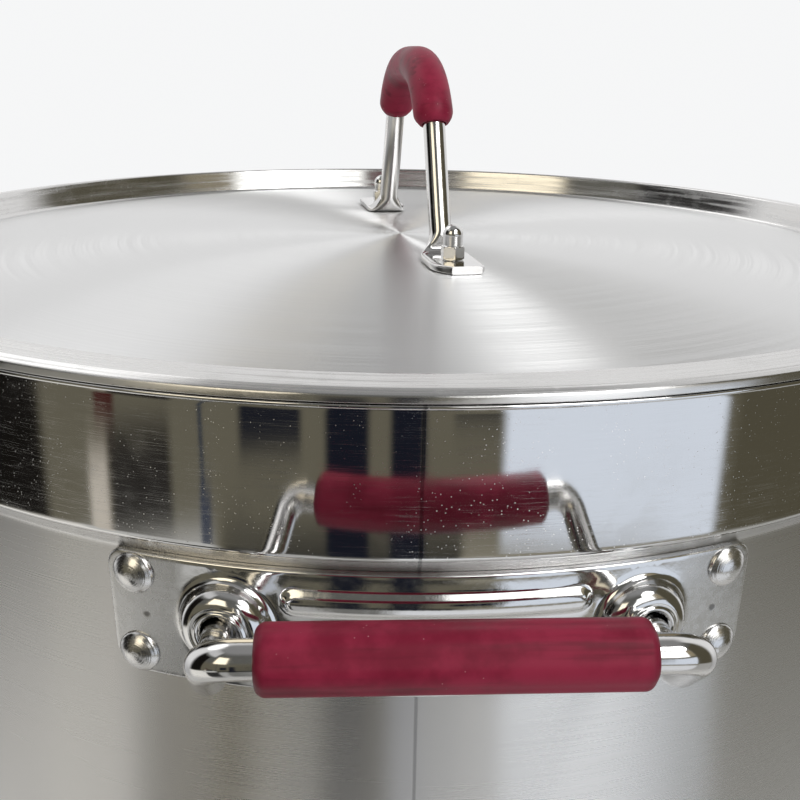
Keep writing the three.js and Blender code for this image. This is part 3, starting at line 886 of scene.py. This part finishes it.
def rivet_mesh(angle, z):
    """Domed head outside, shank, and flat upset tail inside."""
    out_face = PLATE_OUT * RIVET_SAG + GAP
    in_face = (BARREL_R - WALL) * RIVET_SAG - GAP
    crown = out_face + RIVET_HEAD_H
    rise = RIVET_HEAD_H - RIVET_HEAD_EDGE
    dome_r = (RIVET_HEAD_R ** 2 + rise ** 2) / (2 * rise)
    limit = math.asin(RIVET_HEAD_R / dome_r)
    steps = 12
    head = []
    for k in range(steps + 1):
        t = limit * k / steps
        head.append((dome_r * math.sin(t), crown - dome_r * (1 - math.cos(t))))
    tail = [
        (RIVET_HEAD_R, out_face), (RIVET_SHANK_R, out_face),
        (RIVET_SHANK_R, in_face), (RIVET_TAIL_R, in_face),
        (RIVET_TAIL_R - 0.5, in_face - RIVET_TAIL_H), (0, in_face - RIVET_TAIL_H - 0.4),
    ]
    return moved(turned(head + tail, 48), outward(angle, z))


def make_side_handle(side, turn, bar, plate, rivet, rubber):
    """Plate, rod, grip and four rivets, made in front and turned to their side."""
    about = Matrix.Rotation(turn, 4, "Z")
    make(side + "_plate", moved(plate_mesh(), about), "pot",
         [side + "_handle_plate"], [plate], sharp=70)
    make(side + "_rod", moved(handle_rod_mesh(), about), "pot",
         [side + "_handle_rod"], [bar])
    make(side + "_grip", moved(grip_mesh(), about), "pot",
         [side + "_handle_grip"], [rubber])
    for horizontal, sign in (("left", -1), ("right", 1)):
        for vertical, dz in (("upper", RIVET_DZ), ("lower", -RIVET_DZ)):
            node = f"{side}_rivet_{horizontal}_{vertical}"
            mesh = moved(rivet_mesh(sign * RIVET_ANGLE, PLATE_Z + dz), about)
            make(node + "_fine", mesh, "pot", [node], [rivet])


# ---- lid ------------------------------------------------------------------------------------
def face_height(r):
    """The lid's upper face: flat in the middle, falling towards the wall round it."""
    return LID_FLAT - FACE_DROP * (max(r - FLAT_R, 0) / (FACE_R - FLAT_R)) ** 2


def lid_outline():
    """Half-section of the lid's sheet."""
    t = LID_SHEET
    rest = RIM_Z - LID_Z + GAP
    steps = 32
    upper = [(r, face_height(r)) for r in (FACE_R * k / steps for k in range(steps - 1))]
    lower = [(r, z - t) for r, z in reversed(upper)]
    edge = face_height(FACE_R)
    rim = [  # radius, height, bend
        (FACE_R, edge, 2.4),  # foot of the wall
        (LAND_R - 0.6, LAND, 1.3),  # top of the wall
        (CREST_R + 0.6, CREST - 0.1, 1.4),  # crest of the bead
        (RIM_R - 0.2, CREST - 1.4, 1.0),
        (RIM_R, rest, 0.3),  # foot of the bead, over the pot's rim
        (RIM_R - 1.0, rest, 0.3),
        (RIM_R - 1.2, CREST - 2.0, 0.5),
        (CREST_R + 0.2, CREST - t - 0.1, 0.6),
        (LAND_R + 0.5, LAND - t, 0.6),
        (FACE_R + 1.0, edge - t, 3.0),
    ]
    corners = [upper[-1], *[(r, z) for r, z, _ in rim], lower[0]]
    bends = [bend for _, _, bend in rim]
    section = upper[:-1] + profile(corners, bends, near=0.6) + lower[1:]
    return [(r, z + LID_Z) for r, z in section]


def make_lid_shell(materials):
    brushed_inside = FACE_R - 0.8

    def pick(centre):
        return 1 if math.hypot(centre.x, centre.y) > brushed_inside else 0

    mesh = turned(lid_outline(), SEGMENTS)
    return make("lid_sheet", mesh, "lid", ["lid_shell"], materials, pick=pick)


def lid_place():
    """From the handle's own frame, with its feet along Y, to its place on the lid."""
    raised = Matrix.Translation((0, 0, LID_Z))
    offset = Matrix.Translation((LID_HANDLE_OFFSET, 0, 0))
    return raised @ Matrix.Rotation(LID_TURN, 4, "Z") @ offset


def arch_points(step):
    """Middle line of the bar from leg to leg."""
    foot = Vector((0, -LEG_FOOT, LID_FLAT + LEG_START))
    rise = ARCH_TOP - foot.z
    shoulder = Vector((0, -LEG_FOOT + rise * math.tan(LEG_LEAN), ARCH_TOP))
    corners = [foot, shoulder]
    corners += [Vector((p.x, -p.y, p.z)) for p in reversed(corners)]
    return rounded(corners, [ARCH_R, ARCH_R], step)


def foot_path():
    """Middle line of a foot: from the toe along the lid, round the heel and into the leg."""
    middle = PAD_Z + PAD_THICK / 2
    toe = (0, -PAD_OUT, middle)
    heel = (0, -LEG_FOOT - HEEL, middle)
    leg = Vector((0, math.sin(LEG_LEAN), math.cos(LEG_LEAN)))
    top = Vector((0, -LEG_FOOT, LID_FLAT + LEG_START)) + leg * LEG_START
    return densified(rounded([toe, heel, top], [HEEL_R], step=9.0), 1.2)


def foot_section(point, side, over, travelled):
    """Section of a foot at a distance from the toe: a flat pad that turns into the round bar."""
    share = min(max((travelled - PAD_FLAT) / PAD_TO_ROUND, 0), 1)
    share = share * share * (3 - 2 * share)
    power = blended(7.0, 2.0, share)  # of the superellipse: near a rectangle, then a circle
    half_height = blended(PAD_THICK / 2, LID_ROD_R, share)
    reach = min(travelled, TOE_LENGTH)
    left = PAD_HALF_WIDTH * math.sqrt(max(0.12, 1 - (1 - reach / TOE_LENGTH) ** 2))
    right = PAD_HALF_WIDTH * (1 if reach > 2 else 0.86 + 0.07 * reach)
    left = blended(left, LID_ROD_R, share)
    right = blended(right, LID_ROD_R, share)
    ring = []
    for t in turns_of(BAR_SEGMENTS):
        c = math.cos(t)
        s = math.sin(t)
        x = math.copysign(abs(c) ** (2 / power), c)
        z = math.copysign(abs(s) ** (2 / power), s)
        ring.append(point + side * (x * (right if x > 0 else left)) + over * (z * half_height))
    return ring


def foot_rings():
    """Sections from the squared toe, flat under the nut, through the heel into the round leg."""
    path = foot_path()
    travelled = 0.0
    rings = []
    for i, (point, side, over) in enumerate(upright_frames(path)):
        if i:
            travelled += (point - path[i - 1]).length
        rings.append(foot_section(point, side, over, travelled))
    return rings


def lid_handle_mesh():
    """One bar: flat foot, leg, arch, leg, flat foot."""
    near_foot = foot_rings()
    about = Matrix.Rotation(math.pi, 4, "Z")
    order = [(BAR_SEGMENTS // 2 - k) % BAR_SEGMENTS for k in range(BAR_SEGMENTS)]
    far_foot = [[about @ ring[k] for k in order] for ring in reversed(near_foot)]
    start = sum(near_foot[-1], Vector()) / BAR_SEGMENTS
    end = Vector((0, -start.y, start.z))
    path = [start, *[p for p in arch_points(5.0)[1:-1] if p.z > start.z + 2], end]
    frames = upright_frames(path)[1:-1]
    arch = rings_along(frames, [LID_ROD_R] * len(frames), BAR_SEGMENTS)
    return loft(near_foot + arch + far_foot)


def lid_grip_mesh():
    """Silicone sleeve over the arch, its ends tapered in to the legs."""
    path = [p for p in arch_points(4.0) if p.z > LID_GRIP_LOW + 0.4]
    lead = path[0].copy()
    lead.y -= (path[0].z - LID_GRIP_LOW) * math.tan(LEG_LEAN)
    lead.z = LID_GRIP_LOW
    path = [lead, *path, Vector((0, -lead.y, lead.z))]
    marks = [0.0]
    for a, b in zip(path, path[1:]):
        marks.append(marks[-1] + (b - a).length)
    length = marks[-1]
    first = [0.0, 0.4, 1.2, 2.4, 4.0, 5.5, 7.0]
    clear = 8.0
    middle = [m for m in marks if clear < m < length - clear]
    stations = first + middle + [length - s for s in reversed(first)]

    def at(distance):
        for i in range(len(marks) - 1):
            if distance <= marks[i + 1] + 1e-9:
                span = marks[i + 1] - marks[i]
                return path[i].lerp(path[i + 1], (distance - marks[i]) / span)
        return path[-1].copy()

    def radius(distance):
        taper = min(distance, length - distance) / LID_GRIP_TAPER
        return LID_GRIP_R - LID_GRIP_TAPER_DEPTH * (1 - min(taper, 1.0)) ** 2

    frames = upright_frames([at(s) for s in stations])
    outer = rings_along(frames, [radius(s) for s in stations], BAR_SEGMENTS)
    inner = rings_along(frames, [LID_GRIP_BORE_R] * len(stations), BAR_SEGMENTS)
    return loft(outer + inner[::-1], wrap=True)


def hexagon_reach(t, height):
    """From the nut's axis to its side; the corners are chamfered at both ends."""
    sector = (t + math.pi / 6) % (math.pi / 3) - math.pi / 6
    flat = NUT_FLATS / 2 / math.cos(sector)
    chamfer = NUT_FLATS / 2 + 0.15 + min(height, NUT_HEX_H - height) * 1.3
    return min(flat, chamfer)


def cap_nut_mesh(y):
    """Hexagon with chamfered corners under a high dome."""
    shoulder = NUT_TOP - NUT_DOME_R
    hexagon = [0.0, 0.25, 0.5, NUT_HEX_H - 0.9, NUT_HEX_H - 0.5, NUT_HEX_H - 0.2]
    dome = [
        (NUT_HEX_H, NUT_DOME_R + 0.15), (NUT_HEX_H + 0.15, NUT_DOME_R),
        (NUT_HEX_H + 0.6, NUT_DOME_R), (shoulder - 0.5, NUT_DOME_R),
    ]
    steps = 9
    for k in range(steps):
        t = math.pi / 2 * k / steps
        dome.append((shoulder + NUT_DOME_R * math.sin(t), NUT_DOME_R * math.cos(t)))
    turns = turns_of(NUT_SEGMENTS)
    rows = [(height, [hexagon_reach(t, height) for t in turns]) for height in hexagon]
    rows += [(height, [r] * NUT_SEGMENTS) for height, r in dome]
    rings = []
    for height, radii in rows:
        rings.append([Vector((r * math.cos(t), r * math.sin(t), height)) for t, r in zip(turns, radii)])
    vertices, faces = loft(rings)
    top = len(vertices) - NUT_SEGMENTS
    tip = len(vertices)
    vertices.append(Vector((0, 0, NUT_TOP)))
    faces = faces[:-1] + [(top + k, top + (k + 1) % NUT_SEGMENTS, tip) for k in range(NUT_SEGMENTS)]
    return moved((vertices, faces), Matrix.Translation((0, y, PAD_Z + PAD_THICK + GAP)))


def bolt_mesh(y):
    """Pan head under the washer and the shank up to the nut."""
    under = WASHER_TOP - WASHER_THICK - GAP
    low = under - BOLT_HEAD_H
    tip = PAD_Z + PAD_THICK + GAP + BOLT_IN_NUT
    corners = [
        (0, tip), (BOLT_R, tip), (BOLT_R, under), (BOLT_HEAD_R, under), (BOLT_HEAD_R, low), (0, low),
    ]
    return moved(turned(profile(corners, [0.5, 0, 0.2, 1.8]), 40), Matrix.Translation((0, y, 0)))


def washer_mesh(y):
    inner = BOLT_R + GAP
    low = WASHER_TOP - WASHER_THICK
    corners = [(inner, WASHER_TOP), (WASHER_R, WASHER_TOP), (WASHER_R, low), (inner, low)]
    outline = closed_profile(corners, [0.15, 0.25, 0.25, 0.15], near=0.2)
    return moved(turned(outline, 56), Matrix.Translation((0, y, 0)))


def make_lid(sheet_materials, bar, rubber):
    """Sheet, bar and sleeve, and a nut, bolt and washer at each foot."""
    place = lid_place()
    make_lid_shell(sheet_materials)
    make("lid_bar", moved(lid_handle_mesh(), place), "lid",
         ["lid_handle_rod"], [bar])
    make("lid_sleeve", moved(lid_grip_mesh(), place), "lid",
         ["lid_handle_grip"], [rubber])
    for end, y in (("front", -NUT_S), ("back", NUT_S)):
        make("cap_nut_" + end, moved(cap_nut_mesh(y), place), "lid",
             ["lid_cap_nut_" + end], [bar], sharp=32)
        make("bolt_" + end, moved(bolt_mesh(y), place), "lid",
             ["lid_bolt_" + end], [bar])
        make("washer_" + end, moved(washer_mesh(y), place), "lid",
             ["lid_washer_" + end], [bar])


# ---- studio, metres -------------------------------------------------------------------------
FLOOR_R = 0.58
FLOOR_SOLID_R = 0.34
FLOOR_CLEAR_R = 0.56
LAMP_TARGET = Vector((0, 0, 0.4))

CAMERA_DISTANCE = 1.934 * RIM_R * MM
CAMERA_Z = LID_Z * MM + 0.334 * RIM_R * MM
CAMERA_BEARING = math.radians(-2.9)
CAMERA_PAN = math.radians(-0.15)
CAMERA_DOWN = math.radians(19.16)
CAMERA_ROLL = math.radians(0.89)

# what the steel reflects: plain colours, and patches of the room that lie over them
OLIVE = (0.155, 0.143, 0.105)
OLIVE_ABOVE = (0.13, 0.13, 0.12)
NAVY = (0.010, 0.012, 0.020)
BEHIND_LOW = (0.5, 0.5, 0.5)
BEHIND = (0.95, 0.95, 0.95)
CEILING = (0.30, 0.30, 0.30)
BACKDROP = (0.92, 0.925, 0.93)

# each patch: azimuth from and to, from -Y, elevation from and to, softness, all in degrees, and
# colour; later ones lie over earlier ones
ROOM = [
    (-180, -59, -95, -27, 2.0, (0.98, 0.96, 0.91)),
    (-59, -34, -95, -33.5, 2.0, (0.03, 0.03, 0.03)),
    (-34, -18, -95, -33, 3.0, (0.46, 0.46, 0.45)),
    (-18, -4, -95, -33, 3.0, (0.20, 0.20, 0.19)),
    (-4, 62, -95, -33, 3.0, (0.85, 0.87, 0.90)),
    (62, 104, -95, -27, 4.0, (0.45, 0.45, 0.43)),
    (-66, -38, -33, -26.5, 1.5, (0.62, 0.62, 0.60)),
    (-36, 10, -33, -26.5, 1.0, (0.05, 0.048, 0.04)),
    (-112, -72, -26, 30, 1.5, (0.008, 0.007, 0.006)),
    (-62.5, -58.5, -28, -21.5, 0.8, (0.65, 0.60, 0.52)),
    (-58, -45.5, -26, -20, 1.0, (0.022, 0.020, 0.018)),
    (-60, -56, -19.5, -16, 0.6, (0.06, 0.010, 0.010)),
    (-39.7, -39.0, -28, 2, 0.25, (0.03, 0.04, 0.06)),
    (-40.2, -38.0, -28, -24, 0.5, (0.05, 0.06, 0.09)),
    (-32, -20.5, -22, -8, 0.8, NAVY),
    (-16, -8, -34, -4, 0.8, NAVY),
    (-4, 2.5, -34, 6, 0.8, NAVY),
    (7.5, 16, -20, -6, 0.8, NAVY),
    (10, 62, -33, -27, 1.5, (0.30, 0.28, 0.22)),
    (17, 60, -27, 2, 1.2, (0.86, 0.93, 1.04)),
    (62, 110, -27, 45, 2.0, (0.10, 0.09, 0.06)),
    (8, 46, 9, 40, 2.0, (2.2, 2.2, 2.15)),
    (46, 60, 9, 36, 3.0, (0.35, 0.30, 0.20)),
    (-50, -22, 9, 40, 2.5, (1.9, 1.7, 1.3)),
    (-112, -60, 36, 62, 4.0, (0.70, 0.70, 0.70)),
]


def make_floor():
    """Pale disc under the pot that fades out into the background."""
    mesh = bpy.data.meshes.new("floor")
    work = bmesh.new()
    bmesh.ops.create_circle(work, cap_ends=True, radius=FLOOR_R, segments=96)
    work.to_mesh(mesh)
    work.free()
    floor = bpy.data.objects.new("floor", mesh)
    bpy.context.scene.collection.objects.link(floor)
    s = Shader("floor_paper", Roughness=0.7, Base_Color=(0.8, 0.8, 0.8))
    distance, _, _ = s.around_axis()
    s.put(s.remap(distance, FLOOR_SOLID_R, FLOOR_CLEAR_R, 1.0, 0.0), s.principled.inputs["Alpha"])
    mesh.materials.append(s.material)


def make_world():
    """Pale background for the camera; for reflections a room, dark in front and bright behind."""
    world = bpy.data.worlds.new("studio")
    bpy.context.scene.world = world
    world.use_nodes = True
    n = Nodes(world.node_tree)
    n.tree.nodes.clear()
    x, y, z = n.split(n.add("TexCoord").outputs["Generated"])
    degrees = 180 / math.pi
    azimuth = n.times(n.maths("ARCTAN2", x, n.times(y, -1.0)), degrees)
    elevation = n.times(n.maths("ARCSINE", z), degrees)
    room = n.colours(n.remap(elevation, 0.0, 20.0), OLIVE, OLIVE_ABOVE)
    for low_az, high_az, low_el, high_el, soft, colour in ROOM:
        across = n.within(azimuth, low_az, high_az, soft)
        upward = n.within(elevation, low_el, high_el, soft)
        room = n.colours(n.times(across, upward), room, colour)
    behind = n.colours(n.remap(elevation, -35.0, -5.0), BEHIND_LOW, BEHIND)
    room = n.colours(n.remap(n.size_of(azimuth), 98.0, 112.0), room, behind)
    room = n.colours(n.remap(elevation, 48.0, 70.0), room, CEILING)
    seen = n.colours(n.add("LightPath").outputs["Is Camera Ray"], room, BACKDROP)
    background = n.add("Background")
    n.put(seen, background.inputs["Color"])
    n.put(background.outputs[0], n.add("OutputWorld").inputs[0])


def make_lamp(name, place, size, power):
    """Round soft lamp that points at the upper part of the pot."""
    data = bpy.data.lights.new(name, "AREA")
    data.shape = "DISK"
    data.size = size
    data.energy = power
    lamp = bpy.data.objects.new(name, data)
    lamp.location = place
    lamp.rotation_euler = (LAMP_TARGET - Vector(place)).to_track_quat("-Z", "Y").to_euler()
    bpy.context.scene.collection.objects.link(lamp)


def make_camera():
    """Close above the rim, looking down over the front handle."""
    data = bpy.data.cameras.new("camera")
    data.lens = 45
    data.sensor_width = 36
    data.clip_start = 0.01
    camera = bpy.data.objects.new("camera", data)
    bpy.context.scene.collection.objects.link(camera)
    x = CAMERA_DISTANCE * math.sin(CAMERA_BEARING)
    y = -CAMERA_DISTANCE * math.cos(CAMERA_BEARING)
    where = Matrix.Translation((x, y, CAMERA_Z))
    heading = Matrix.Rotation(CAMERA_BEARING + CAMERA_PAN, 4, "Z")
    tilt = Matrix.Rotation(math.pi / 2 - CAMERA_DOWN, 4, "X")
    roll = Matrix.Rotation(CAMERA_ROLL, 4, "Z")
    camera.matrix_world = where @ heading @ tilt @ roll
    bpy.context.scene.camera = camera


# ---- assembly -------------------------------------------------------------------------------
bpy.context.scene.view_settings.view_transform = "Standard"
make_camera()
make_world()
make_floor()
make_lamp("key", place=(0.9, -1.2, 1.9), size=0.9, power=14)
make_lamp("fill", place=(-1.3, 0.9, 2.2), size=1.4, power=4)

satin = barrel_steel()
bar = polished_steel()
rubber = silicone()

make_pot([satin, band_steel()])
make_base(satin)
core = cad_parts["base_core"]
core.data.materials.clear()
core.data.materials.append(core_aluminium())
plate = plate_steel()
rivet = rivet_steel()
for side, turn in (("front", 0.0), ("back", math.pi)):
    make_side_handle(side, turn, bar, plate, rivet, rubber)
make_lid([lid_steel(), bead_steel()], bar, rubber)

bpy.context.view_layer.update()
